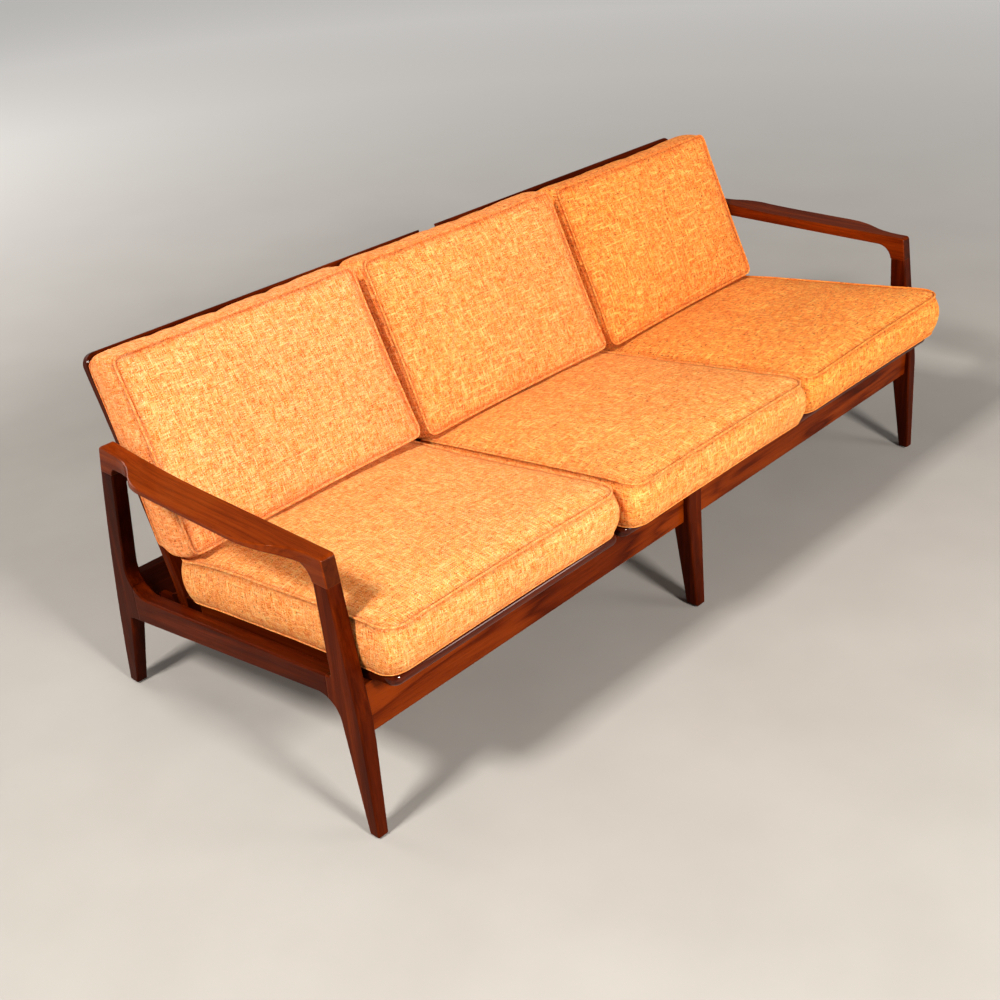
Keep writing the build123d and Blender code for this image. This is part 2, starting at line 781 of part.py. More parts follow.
# Seat frames: a bullnosed front, a rear and two rebated sides each, with rubber webbing
strap_field = seat_frame_depth - seat_front_width - seat_rear_width
strap_pitch = strap_field / strap_count
for name, place in (("left", -1), ("centre", 0), ("right", 1)):
    middle = place * seat_pitch
    low = middle - seat_frame_width / 2

    with BuildPart() as seat_front:
        with BuildSketch(seat_section(low)):
            with BuildLine():
                nose_radius = seat_frame_thickness / 2
                ThreePointArc((nose_radius, 0), (0, nose_radius), (nose_radius, seat_frame_thickness))
                Polyline(
                    (nose_radius, seat_frame_thickness),
                    (seat_front_width, seat_frame_thickness),
                    (seat_front_width, 0),
                    (nose_radius, 0),
                )
            make_face()
        extrude(amount=seat_frame_width)
        with BuildSketch(plan_of_seat(0)):
            with Locations((middle, seat_front_width)):
                RectangleRounded(seat_frame_width, 2 * seat_front_width, seat_corner_radius)
        extrude(amount=seat_frame_thickness, mode=Mode.INTERSECT)
    save(seat_front.part, f"seat_frame_{name}_front")

    with BuildPart() as seat_rear:
        with BuildSketch(plan_of_seat(0)):
            with Locations((middle, seat_frame_depth - seat_rear_width / 2)):
                Rectangle(seat_frame_width, seat_rear_width)
        extrude(amount=seat_frame_thickness)
    save(seat_rear.part, f"seat_frame_{name}_rear")

    for edge, sign in hand.items():
        along = seat_front_width + strap_field / 2
        with BuildPart() as seat_side:
            with BuildSketch(plan_of_seat(0)):
                with Locations((middle + sign * (seat_frame_width - seat_side_width) / 2, along)):
                    Rectangle(seat_side_width, strap_field)
            extrude(amount=seat_frame_thickness)
            with BuildSketch(plan_of_seat(seat_frame_thickness - strap_recess)):
                inner = seat_frame_width / 2 - seat_side_width + strap_bearing / 2
                with Locations((middle + sign * inner, along)):
                    Rectangle(strap_bearing, strap_field)
            extrude(amount=strap_recess, mode=Mode.SUBTRACT)
        save(seat_side.part, f"seat_frame_{name}_side_{edge}")

    with BuildPart() as webbing:
        with BuildSketch(plan_of_seat(seat_frame_thickness - strap_recess)):
            reach = seat_frame_width - 2 * (seat_side_width - strap_bearing + joint_clearance)
            with Locations((middle, along)):
                with GridLocations(0, strap_pitch, 1, strap_count):
                    Rectangle(reach, strap_width)
        extrude(amount=strap_thickness)
    save(webbing.part, f"webbing_{name}")

# Back frames: the bowed side profile that stiles and rails share
with BuildSketch(Plane.XY) as back_side:
    with BuildLine():
        half = back_length / 2
        foot = foot_of_back(back_thickness)
        front_mid = back_thickness + back_bow
        ThreePointArc((0, 0), (half, back_bow), (back_length, 0))
        Line((back_length, 0), (back_length, back_thickness))
        ThreePointArc((back_length, back_thickness), (half, front_mid), (foot, back_thickness))
        Line((foot, back_thickness), (0, 0))
    make_face()

ahead_axis = Axis(back_point(0, 0), back_point(0, 1) - back_point(0, 0))
frame_reach = back_span / 2
frame_start = back_gap / 2
field = frame_reach - frame_start - 2 * back_stile_width
field_middle = (frame_reach + frame_start) / 2
top_start = back_length - back_top_width
slat_pitch = field / slat_count
for name, sign in hand.items():
    stiles = {"outer": (frame_reach, -sign), "inner": (frame_start, sign)}
    for which, (edge, inward) in stiles.items():
        with BuildPart() as stile:
            with BuildSketch(back_section(sign * edge)):
                add(back_side.sketch_local)
            extrude(amount=inward * back_stile_width)
            if which == "outer":
                corner = stile.edges().filter_by(ahead_axis).filter_by(at_edge(sign * edge))
                fillet(corner, radius=back_corner_radius)
            rim = stile.faces().sort_by(Axis.Z)[-1].edges().filter_by(Axis.X)
            rim += stile.edges().filter_by(at_edge(sign * edge)).filter_by(GeomType.CIRCLE)
            chamfer(rim, length=back_arris)
            with BuildSketch(Plane.YZ.offset(sign * edge)):
                with Locations(bolt_spot):
                    RegularPolygon(bolt_radius + joint_clearance, small_sides)
            extrude(amount=inward * back_stile_width, mode=Mode.SUBTRACT)
        save(stile.part, f"back_frame_{name}_{which}_stile")

    rails = {"top": (top_start, back_length), "bottom": (foot, back_bottom_width)}
    for which, (start, end) in rails.items():
        with BuildPart() as rail:
            with BuildSketch(back_section(sign * field_middle - field / 2)):
                add(back_side.sketch_local)
                with Locations(((start + end) / 2, 0)):
                    Rectangle(end - start, back_length, mode=Mode.INTERSECT)
            extrude(amount=field)
            if which == "top":
                rim = rail.faces().sort_by(Axis.Z)[-1].edges().filter_by(Axis.X)
                fillet(rim, radius=back_arris)
        save(rail.part, f"back_frame_{name}_{which}_rail")

    with BuildPart() as back_slats:
        for place in range(slat_count):
            offset = (place + 0.5) * slat_pitch - field / 2
            with BuildSketch(back_section(sign * field_middle + offset - slat_width / 2)):
                with BuildLine():
                    slat_rear = (back_thickness - slat_thickness) / 2
                    ends = []
                    for ahead in (slat_rear, slat_rear + slat_thickness):
                        low = (back_bottom_width, ahead + bowed(back_bottom_width))
                        high = (top_start, ahead + bowed(top_start))
                        ThreePointArc(low, (half, ahead + bowed(half)), high)
                        ends.append((low, high))
                    Line(ends[0][0], ends[1][0])
                    Line(ends[0][1], ends[1][1])
                make_face()
            extrude(amount=slat_width)
    save(back_slats.part, f"back_slats_{name}")

# Spacers and bolts hold the back frames to the rear legs and to the middle post
outer_spacer = arm_inner - frame_reach
inner_spacer = frame_start - post_width / 2
with BuildPart() as back_spacers:
    for sign in hand.values():
        for edge, length in ((frame_reach, outer_spacer), (post_width / 2, inner_spacer)):
            with BuildSketch(Plane.YZ.offset(sign * edge)):
                with Locations(bolt_spot):
                    RegularPolygon(spacer_radius, small_sides)
                    RegularPolygon(bolt_radius + joint_clearance, small_sides, mode=Mode.SUBTRACT)
            extrude(amount=sign * length)
save(back_spacers.part, "back_spacers")

with BuildPart() as back_bolts:
    for sign in hand.values():
        head_plane = Plane.YZ.offset(sign * (frame_reach - back_stile_width))
        shaft = back_stile_width + outer_spacer + bolt_bite - joint_clearance
        for radius, length in ((bolt_radius, shaft), (bolt_head_radius, -bolt_head_height)):
            with BuildSketch(head_plane):
                with Locations(bolt_spot):
                    RegularPolygon(radius, small_sides)
            extrude(amount=sign * length)
    clamp = frame_start + back_stile_width
    with BuildSketch(Plane.YZ):
        with Locations(bolt_spot):
            RegularPolygon(bolt_radius, small_sides)
    extrude(amount=clamp, both=True)
    for sign in hand.values():
        with BuildSketch(Plane.YZ.offset(sign * clamp)):
            with Locations(bolt_spot):
                RegularPolygon(bolt_head_radius, 6)
        extrude(amount=sign * bolt_head_height)
save(back_bolts.part, "back_bolts")

# Blocks behind the feet of the back frames stop them from sliding back
with BuildPart() as back_stops:
    stop_edges = (frame_reach - stop_width, bearer_middle - stop_width / 2)
    for sign in hand.values():
        for edge in stop_edges:
            with BuildSketch(back_section(sign * edge)):
                with BuildLine():
                    Polyline(
                        (0, 0),
                        (stop_height, 0),
                        (stop_height, -stop_depth),
                        (foot_of_back(-stop_depth), -stop_depth),
                        close=True,
                    )
                make_face()
            extrude(amount=sign * stop_width)
save(back_stops.part, "back_stops")

# Cushions: a boxed cover with its wadding, round a foam core
for kind, level in (("seat", seat_level), ("back", back_level)):
    for name, place in (("left", -1), ("centre", 0), ("right", 1)):
        middle = Vector(place * cushion_pitch, 0, 0)
        near, far = level(name, 0, 0)
        along = (far - near).normalized()
        up = Vector(1, 0, 0).cross(along)
        crown = cushion_crown(level, name)
        waist = level(name, 0.5, 0)
        reach = (far - near).length
        base = along * cushion_base_inset
        half = cushion_width / 2
        low, high = [level(name, share, 0) for share in foam_shares[kind]]
        core_plane = level_plane(middle.X, *low)
        core_reach = (low[1] - low[0]).length
        core_rise = (high[0] - low[0]).dot(up)

        with BuildPart() as cover:
            with BuildSketch(Plane.YZ.offset(middle.X)):
                with BuildLine():
                    bottom = [(near + base), (far - base)]
                    for end in (0, 1):
                        arc = [bottom[end], waist[end], crown[0][end]]
                        ThreePointArc(*[(point.Y, point.Z) for point in arc])
                        Polyline(*[(step[end].Y, step[end].Z) for step in crown])
                    for line in (bottom, crown[-1]):
                        Line(*[(point.Y, point.Z) for point in line])
                make_face()
            extrude(amount=cushion_width, both=True)
            with BuildSketch(Plane(near + middle, (1, 0, 0), -along)):
                with BuildLine():
                    foot = half - cushion_base_inset
                    rise = [(step[0] - near).dot(up) for step in crown]
                    inset = [cushion_seam_inset] + [step[1] for step in cushion_crown_steps]
                    for across in (1, -1):
                        shoulder = [(across * (half - x), y) for x, y in zip(inset, rise)]
                        bulge = (across * half, (waist[0] - near).dot(up))
                        ThreePointArc((across * foot, 0), bulge, shoulder[0])
                        Polyline(*shoulder)
                    Line((-foot, 0), (foot, 0))
                    Line((inset[-1] - half, rise[-1]), (half - inset[-1], rise[-1]))
                make_face()
            extrude(amount=2 * reach, both=True, mode=Mode.INTERSECT)
            seam = level(name, 1, 0)
            with BuildSketch(level_plane(middle.X, *seam)):
                with BuildLine():
                    plan = cushion_plan((seam[1] - seam[0]).length)
                    FilletPolyline(*plan, radius=[0, cushion_corner] * 4, close=True)
                make_face()
            extrude(amount=reach, both=True, mode=Mode.INTERSECT)
            if kind == "back":
                rear = Plane(back_point(0, back_cushion_base), (1, 0, 0), ahead_axis.direction)
                split(bisect_by=rear)
            with BuildSketch(core_plane):
                with Locations((0, core_reach / 2)):
                    Rectangle(cushion_width - 2 * wadding, core_reach - 2 * wadding)
            extrude(amount=core_rise, mode=Mode.SUBTRACT)
        save(cover.part, f"{kind}_cushion_{name}")

        with BuildPart() as foam:
            slack = wadding + joint_clearance
            with BuildSketch(core_plane):
                with Locations((0, core_reach / 2)):
                    Rectangle(cushion_width - 2 * slack, core_reach - 2 * slack)
            extrude(amount=core_rise)
        save(foam.part, f"{kind}_cushion_{name}_foam")
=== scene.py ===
# The looks of the sofa: figured dark wood, heathered tweed cushions with welted seams, light and camera.
# Metres, in the same frame as the solids: X along the length, front at -Y, +Z up.
import bpy
import json
import math
import numpy as np
from mathutils import Matrix, Vector
from mathutils import noise as fields


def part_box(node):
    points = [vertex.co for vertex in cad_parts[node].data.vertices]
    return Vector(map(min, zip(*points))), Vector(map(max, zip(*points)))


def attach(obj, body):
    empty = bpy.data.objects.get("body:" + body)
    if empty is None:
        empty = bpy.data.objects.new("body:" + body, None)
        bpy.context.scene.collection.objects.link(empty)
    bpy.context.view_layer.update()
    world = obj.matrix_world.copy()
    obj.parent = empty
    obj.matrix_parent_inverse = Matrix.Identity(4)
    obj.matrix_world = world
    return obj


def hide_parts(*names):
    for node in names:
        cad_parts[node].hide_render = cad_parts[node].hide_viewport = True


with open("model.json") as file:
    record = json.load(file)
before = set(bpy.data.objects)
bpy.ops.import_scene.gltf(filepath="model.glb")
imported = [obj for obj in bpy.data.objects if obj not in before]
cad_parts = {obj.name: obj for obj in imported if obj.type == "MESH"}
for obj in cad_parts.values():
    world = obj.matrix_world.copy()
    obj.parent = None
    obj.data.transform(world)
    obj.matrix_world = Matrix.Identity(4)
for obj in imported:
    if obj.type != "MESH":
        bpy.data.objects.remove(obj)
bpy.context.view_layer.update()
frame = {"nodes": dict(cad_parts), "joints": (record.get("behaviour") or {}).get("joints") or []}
scene = bpy.context.scene
nodes = frame["nodes"]
places = ("left", "centre", "right")

# Cushions, in metres
cushion_draw = 0.003
seam_inset = 0.006
middle_inset = 0.002
base_inset = 0.006
cell = 0.0125
seam_lines = (0.004, 0.009)
groove_shares = {1: 1.0, 2: 0.3}
groove_depth = 0.0016
swell_cap = 0.0035
swell_frames = 20
welt_radius = 0.0024
welt_sides = 6
welt_lifts = {"face": 0.5, "rear": 1.15}
welt_shares = {"face": 1.0, "rear": 0.6}
welt_proud = 0.35
seam_crease = 0.7
slack_waves = ((0.0020, 9.0), (0.0009, 30.0))
seam_slack = 0.35
first_seeds = {"seat": 0.0, "back": 5.0}
seed_step = 17.0
cushion_sizes = {
    "seat": {"depth": 0.599, "height": 0.094, "crown": 0.015, "corner": 0.036, "middle": 0.024,
             "lip": 0.010, "tuck": 0.011},
    "back": {"depth": 0.376, "height": 0.115, "crown": 0.010, "corner": 0.018, "middle": 0.012,
             "shear": 0.22, "lean": 0.0585, "rise": 0.012},
}
# How each seat cushion lies: its shift to the side, how much narrower than its place it is, the press of the
# back cushion on its rear, the droop of its left side, the sag of its left rear corner, and its roll
seat_lies = {
    "left": {"aside": -0.008, "trim": -0.007, "press": -0.004, "droop": 0.012, "sag": 0.018, "roll": 0.0},
    "centre": {"aside": 0.002, "trim": -0.006, "press": 0.001, "droop": 0.0, "sag": 0.0, "roll": 0.0},
    "right": {"aside": 0.012, "trim": -0.003, "press": 0.005, "droop": 0.0, "sag": 0.0, "roll": 0.006},
}
# Where a seat cushion settles: the depth of its front curve at the base and what the face adds to it, then
# the start and length, as shares of the cushion, of its rear, its left part and its left edge
front_curve = (0.030, 0.040)
rear_zone = (0.70, 0.30)
left_zone = (0.45, 0.55)
edge_zone = (0.972, 0.028)
# How each back cushion lies: its shift to the side and down the slope, how much narrower than its place it
# is, the spread, drop and tilt of its foot, and the bulge beneath
back_lies = {
    "left": {"aside": -0.0145, "down": 0.0, "trim": 0.010,
             "spread": 0.008, "foot": 0.007, "tilt": 0.9, "bulge": 0.008},
    "centre": {"aside": -0.003, "down": 0.0, "trim": 0.003,
               "spread": 0.005, "foot": 0.013, "tilt": 0.0, "bulge": 0.007},
    "right": {"aside": 0.008, "down": 0.004, "trim": 0.003,
              "spread": 0.002, "foot": 0.010, "tilt": 0.6, "bulge": 0.008},
}

# Cloth: the tones are painted light, the left end painted paler as if more brightly lit and the right end
# deeper; the heather is strongest at the right end
painted_light_tones = {"left": (1.0, 1.14, 1.38), "centre": (1.0, 1.09, 1.13), "right": (1.0, 1.01, 0.80)}
# Painted shade: the back cushions are painted a little darker than the seats, against the extra light that
# falls on them
painted_light_by_kind = {"seat": (1.0, 1.02, 1.04), "back": (1.0, 0.93, 1.03)}
heather = {"left": 0.80, "centre": 1.05, "right": 1.35}
rosy_dyes = (
    (0.28, (0.46, 0.055, 0.012)),
    (0.38, (0.76, 0.150, 0.032)),
    (0.48, (0.90, 0.270, 0.090)),
    (0.58, (0.95, 0.370, 0.150)),
    (0.72, (1.00, 0.540, 0.280)),
)
golden_dyes = (
    (0.28, (0.62, 0.130, 0.012)),
    (0.38, (0.82, 0.240, 0.024)),
    (0.48, (0.93, 0.330, 0.050)),
    (0.58, (0.97, 0.440, 0.095)),
    (0.72, (1.00, 0.630, 0.230)),
)
blush_dyes = ((0.0, (0.90, 0.70, 0.62)), (0.5, (0.97, 0.90, 0.86)), (1.0, (1.0, 1.0, 0.86)))
slub_dye = (1.0, 0.660, 0.235)
red_dye = (0.66, 0.100, 0.030, 1.0)
fleck_dye = (0.40, 0.030, 0.010, 1.0)
speck_dye = (0.20, 0.035, 0.007, 1.0)
# Painted shade: the colour and strength of the dark line painted beside each seam
seam_painted_shade = (0.30, 0.050, 0.012, 1.0)
sheen_tint = (1.0, 0.60, 0.30, 1.0)
slub_share = 0.56
red_share = 0.58
fleck_share = 0.80
speck_share = 0.58
blush_share = 0.62
seam_painted_shade_share = 0.50
yarns_per_metre = 450.0
slubs_per_metre = 300.0
reds_per_metre = 360.0
weave_drift = 0.0035
# How fast each run of yarn changes along its length, and which part of the noise it reads
warp_change = (58.0, 11.0)
weft_change = (64.0, 47.0)
slub_changes = ((22.0, 83.0), (19.0, 29.0))

# Wood
wood_shades = (
    (0.14, (0.012, 0.0012, 0.0001)),
    (0.40, (0.042, 0.0046, 0.0003)),
    (0.60, (0.094, 0.0125, 0.0008)),
    (0.88, (0.200, 0.0350, 0.0030)),
)
pore_shade = (0.022, 0.004, 0.001, 1.0)
worn_shade = (0.22, 0.040, 0.005, 1.0)
polish_tint = (1.0, 0.5, 0.25, 1.0)
grain_scales = {"sway": (1.9, 12.0), "streak": (2.6, 75.0), "fibre": (14.0, 420.0), "pore": (42.0, 1000.0)}
middle_tone = 0.54
sway_weight = 0.55
streak_weight = 0.50
fibre_weight = 0.28
heart_offset = (0.05, 0.11)
rings_per_metre = 110.0
ring_sway = 7.0
ring_fray = 0.9
ring_depth = 1.7
pore_share = 0.38
worn_share = 0.30
end_grain_shade = 0.42
arris_radius = 0.0035
board_step = 0.731
plain_figure = 0.10
plain_polish = 0.10
nose_polish = 0.60
figure_of = {"front_rail": 0.56, "arm_left": 0.18, "arm_right": 0.18}
polish_of = {"arm_left": 0.26, "arm_right": 0.20}
# Lightness added to each piece: on the arms it is painted light, standing in for the lamps' highlights;
# on the rear, middle and right legs and the left side rail it is painted shade; elsewhere it is the board's
# own tone
tone_and_painted_light_of = {
    "arm_left": 0.25, "arm_right": 0.12, "front_rail": 0.20, "front_leg_left": 0.06, "rear_leg_left": -0.12,
    "rear_leg_right": -0.16, "front_leg_right": -0.10, "middle_front_leg": -0.08, "middle_rear_leg": -0.16,
    "side_rail_left": -0.06,
}

# Studio
warm_light = (1.0, 0.97, 0.93)
soft_light = (1.0, 0.98, 0.96)
studio_white = (1.0, 0.985, 0.965, 1.0)
# Painted light: the far floor is painted paler and glows faintly where the lamps reach less
far_floor_painted_light = (0.60, 0.585, 0.565, 1.0)
floor_size = 60.0
wall_light = 0.42
ceiling_light = 0.165
wall_top = 0.35
floor_painted_glow = 0.34
camera_lens = 49.543
camera_sensor = 36.0
camera_from_toe = (-2.0005, -1.4152, 1.6112)
camera_axes = (
    (0.677673, -0.732890, -0.060256),
    (0.390222, 0.288947, 0.874206),
    (-0.623286, -0.615940, 0.481801),
)
view_exposure = -0.2


# Small helpers for shader trees
def new_material(name):
    made = bpy.data.materials.new(name)
    made.use_nodes = True
    made.node_tree.nodes.clear()
    return made, made.node_tree


def node(tree, kind, inputs=None, **settings):
    made = tree.nodes.new(kind)
    for key, value in settings.items():
        setattr(made, key, value)
    for key, value in (inputs or {}).items():
        if isinstance(value, bpy.types.NodeSocket):
            tree.links.new(value, made.inputs[key])
        else:
            made.inputs[key].default_value = value
    return made


def calc(tree, operation, first, second=0.0, third=0.0):
    made = node(tree, "ShaderNodeMath", {0: first, 1: second, 2: third}, operation=operation)
    return made.outputs[0]


def noise(tree, vector, scale, detail=2.0, rough=0.5):
    inputs = {"Vector": vector, "Scale": scale, "Detail": detail, "Roughness": rough}
    return node(tree, "ShaderNodeTexNoise", inputs).outputs["Fac"]


def combine(tree, x, y, z):
    return node(tree, "ShaderNodeCombineXYZ", {0: x, 1: y, 2: z}).outputs[0]


def stretched(tree, parts, along, across):
    """A place drawn out along the first axis, for streaks that run with the grain."""
    return combine(tree, calc(tree, "MULTIPLY", parts[0], along), calc(tree, "MULTIPLY", parts[1], across),
                   calc(tree, "MULTIPLY", parts[2], across))


def ramp(tree, value, stops):
    made = node(tree, "ShaderNodeValToRGB", {0: value})
    elements = made.color_ramp.elements
    while len(elements) < len(stops):
        elements.new(0.5)
    for element, (place, colour) in zip(elements, stops):
        element.position = place
        element.color = (*colour, 1.0)
    return made.outputs[0]


def span(tree, value, low, high, to_low=0.0, to_high=1.0):
    inputs = {0: value, 1: low, 2: high, 3: to_low, 4: to_high}
    return node(tree, "ShaderNodeMapRange", inputs).outputs[0]


def mix(tree, share, first, second, blend="MIX"):
    inputs = {0: share, 6: first, 7: second}
    return node(tree, "ShaderNodeMix", inputs, data_type="RGBA", blend_type=blend).outputs[2]


def scaled(tree, colour, share):
    return node(tree, "ShaderNodeVectorMath", {0: colour, "Scale": share}, operation="SCALE").outputs[0]


def finish_material(tree, shader):
    out = node(tree, "ShaderNodeOutputMaterial")
    tree.links.new(shader.outputs[0], out.inputs["Surface"])


# Wood: quiet growth figure, streaks, fibres and pores along the grain, dark end grain, worn arrises
def wood(name, grain, seed, figure, tone_and_light_lift, polish):
    made, tree = new_material(name)
    place = node(tree, "ShaderNodeTexCoord").outputs["Object"]
    turn = Vector((1, 0, 0)).rotation_difference(Vector(grain)).inverted().to_euler()
    board = (seed, seed * 0.37, 0)
    turned = node(tree, "ShaderNodeMapping", {"Vector": place, "Rotation": turn, "Location": board})
    parts = node(tree, "ShaderNodeSeparateXYZ", {0: turned.outputs[0]}).outputs
    sway = noise(tree, stretched(tree, parts, *grain_scales["sway"]), 1.0, 2.0, 0.45)
    streak = noise(tree, stretched(tree, parts, *grain_scales["streak"]), 1.0, 3.0, 0.6)
    fibre = noise(tree, stretched(tree, parts, *grain_scales["fibre"]), 1.0, 3.0, 0.6)
    pore = noise(tree, stretched(tree, parts, *grain_scales["pore"]), 1.0, 2.0, 0.6)
    pore = span(tree, pore, 0.57, 0.70)
    reach_y = calc(tree, "ADD", parts[1], heart_offset[0])
    reach_z = calc(tree, "ADD", parts[2], heart_offset[1])
    radius = calc(tree, "SQRT", calc(tree, "ADD", calc(tree, "MULTIPLY", reach_y, reach_y),
                                     calc(tree, "MULTIPLY", reach_z, reach_z)))
    rings = calc(tree, "MULTIPLY_ADD", sway, ring_sway, calc(tree, "MULTIPLY", radius, rings_per_metre))
    rings = calc(tree, "MULTIPLY_ADD", streak, ring_fray, rings)
    growth = calc(tree, "POWER", calc(tree, "PINGPONG", rings, 0.5), 2.0)
    # The lift adds the piece's own tone together with its painted light and shade
    tone = calc(tree, "MULTIPLY_ADD", growth, -ring_depth * figure, middle_tone + 0.10 * figure + tone_and_light_lift)
    for field, weight in ((sway, sway_weight + 0.5 * figure), (streak, streak_weight), (fibre, fibre_weight)):
        tone = calc(tree, "MULTIPLY_ADD", calc(tree, "SUBTRACT", field, 0.5), weight, tone)
    colour = ramp(tree, tone, wood_shades)
    colour = mix(tree, calc(tree, "MULTIPLY", pore, pore_share), colour, pore_shade)
    soft = node(tree, "ShaderNodeBevel", {"Radius": arris_radius}, samples=8)
    flat = node(tree, "ShaderNodeNewGeometry").outputs["Normal"]
    facing = node(tree, "ShaderNodeVectorMath", {0: soft.outputs[0], 1: flat}, operation="DOT_PRODUCT")
    worn = span(tree, facing.outputs["Value"], 0.995, 0.90)
    worn = calc(tree, "MULTIPLY", worn, span(tree, noise(tree, place, 22.0, 3.0), 0.45, 0.7))
    colour = mix(tree, calc(tree, "MULTIPLY", worn, worn_share), colour, worn_shade)
    cut = node(tree, "ShaderNodeVectorMath", {0: flat, 1: grain}, operation="DOT_PRODUCT")
    cut = span(tree, calc(tree, "ABSOLUTE", cut.outputs["Value"]), 0.80, 0.97, 1.0, end_grain_shade)
    colour = scaled(tree, colour, cut)
    gloss = span(tree, noise(tree, place, 14.0, 3.0, 0.6), 0.3, 0.7, 0.30, 0.42)
    height = calc(tree, "MULTIPLY_ADD", pore, -1.0, calc(tree, "MULTIPLY", growth, 0.25))
    bump = node(tree, "ShaderNodeBump", {"Strength": 0.12, "Distance": 0.0004, "Height": height,
                                         "Normal": soft.outputs[0]})
    shader = node(tree, "ShaderNodeBsdfPrincipled", {
        "Base Color": colour, "Roughness": gloss, "Normal": bump.outputs[0],
        "Specular IOR Level": 0.04, "Specular Tint": polish_tint,
        "Coat Weight": polish, "Coat Roughness": 0.10})
    finish_material(tree, shader)
    return made


# Tweed: a heathered plain weave with pale slubs and red flecks lying in both directions, and dark specks
def yarn_run(tree, across, along, pitch, change, seed):
    """Number of the yarn, its roundness across, and the noise that runs along it."""
    count = calc(tree, "MULTIPLY", across, pitch)
    yarn = calc(tree, "FLOOR", count)
    lane = calc(tree, "SUBTRACT", calc(tree, "SUBTRACT", count, yarn), 0.5)
    bow = calc(tree, "MULTIPLY_ADD", calc(tree, "MULTIPLY", lane, lane), -4.0, 1.0)
    own_row = calc(tree, "MULTIPLY_ADD", yarn, 3.71, seed)
    spot = combine(tree, own_row, calc(tree, "MULTIPLY", along, change[0]), change[1])
    return yarn, bow, noise(tree, spot, 1.0, 2.0, 0.6)


def tweed(name, seed, tone, vivid):
    made, tree = new_material(name)

    # Each dye takes the tone, which paints light and shade onto the cloth
    def with_painted_light(colour):
        red, green, blue = colour
        return (red * tone[0], min(1.0, green * tone[1]), min(1.0, blue * tone[2]))

    uv = node(tree, "ShaderNodeUVMap", uv_map="weave").outputs[0]
    place = node(tree, "ShaderNodeTexCoord").outputs["Object"]
    bend = node(tree, "ShaderNodeTexNoise", {"Vector": uv, "Scale": 9.0, "Detail": 2.0})
    bend = bend.outputs["Color"]
    shift = node(tree, "ShaderNodeVectorMath", {0: bend, 1: (0.5, 0.5, 0.5)}, operation="SUBTRACT")
    shift = node(tree, "ShaderNodeVectorMath", {0: shift.outputs[0], "Scale": weave_drift}, operation="SCALE")
    wavy = node(tree, "ShaderNodeVectorMath", {0: uv, 1: shift.outputs[0]}, operation="ADD").outputs[0]
    parts = node(tree, "ShaderNodeSeparateXYZ", {0: wavy}).outputs
    warp, weft = parts[0], parts[1]
    warp_yarn, warp_bow, warp_run = yarn_run(tree, warp, weft, yarns_per_metre, warp_change, seed)
    weft_yarn, weft_bow, weft_run = yarn_run(tree, weft, warp, yarns_per_metre, weft_change, seed)
    over = calc(tree, "PINGPONG", calc(tree, "ADD", warp_yarn, weft_yarn), 1.0)
    rosy = [(stop, with_painted_light(colour)) for stop, colour in rosy_dyes]
    golden = [(stop, with_painted_light(colour)) for stop, colour in golden_dyes]
    pale_dye = (*with_painted_light(slub_dye), 1.0)
    colour = mix(tree, over, ramp(tree, warp_run, rosy), ramp(tree, weft_run, golden))
    slubs = []
    for across, along, change in ((warp, weft, slub_changes[0]), (weft, warp, slub_changes[1])):
        slub_bow, slub_run = yarn_run(tree, across, along, slubs_per_metre, change, seed)[1:]
        pale = calc(tree, "MULTIPLY", span(tree, slub_run, 0.56, 0.70), span(tree, slub_bow, 0.0, 0.6))
        colour = mix(tree, calc(tree, "MULTIPLY", pale, slub_share * vivid), colour, pale_dye)
        slubs.append(pale)
        red_change = (change[0] * 2.2, change[1] + 5.0)
        red_bow, red_run = yarn_run(tree, across, along, reds_per_metre, red_change, seed)[1:]
        red = calc(tree, "MULTIPLY", span(tree, red_run, 0.56, 0.70), span(tree, red_bow, 0.0, 0.7))
        colour = mix(tree, calc(tree, "MULTIPLY", red, red_share * vivid), colour, red_dye)
    fleck = span(tree, noise(tree, wavy, 250.0, 2.0, 0.6), 0.64, 0.70)
    colour = mix(tree, calc(tree, "MULTIPLY", fleck, fleck_share), colour, fleck_dye)
    speck = span(tree, noise(tree, wavy, 165.0, 1.0, 0.5), 0.63, 0.70)
    colour = mix(tree, calc(tree, "MULTIPLY", speck, speck_share * vivid), colour, speck_dye)
    patch = span(tree, noise(tree, wavy, 70.0, 3.0, 0.65), 0.36, 0.64)
    colour = mix(tree, blush_share * vivid, colour, ramp(tree, patch, blush_dyes), "MULTIPLY")
    cloud = span(tree, noise(tree, place, 4.5, 3.0, 0.55), 0.3, 0.7, 0.97, 1.10)
    colour = scaled(tree, colour, cloud)
    # Painted shade: the cloth is darkened beside each seam, where its groove lies in shade
    seam = node(tree, "ShaderNodeAttribute", attribute_name="seam").outputs["Fac"]
    colour = mix(tree, calc(tree, "MULTIPLY", seam, seam_painted_shade_share), colour, seam_painted_shade)
    high = calc(tree, "ADD", calc(tree, "MULTIPLY", warp_bow, calc(tree, "SUBTRACT", 1.0, over)),
                calc(tree, "MULTIPLY", weft_bow, over))
    high = calc(tree, "MULTIPLY_ADD", calc(tree, "ADD", warp_run, weft_run), 0.9, high)
    high = calc(tree, "ADD", high, calc(tree, "ADD", slubs[0], slubs[1]))
    bump = node(tree, "ShaderNodeBump", {"Strength": 0.75, "Distance": 0.0010, "Height": high})
    shader = node(tree, "ShaderNodeBsdfPrincipled", {
        "Base Color": colour, "Roughness": 0.92, "Normal": bump.outputs[0], "Specular IOR Level": 0.12,
        "Sheen Weight": 0.12, "Sheen Roughness": 0.45, "Sheen Tint": sheen_tint})
    finish_material(tree, shader)
    return made


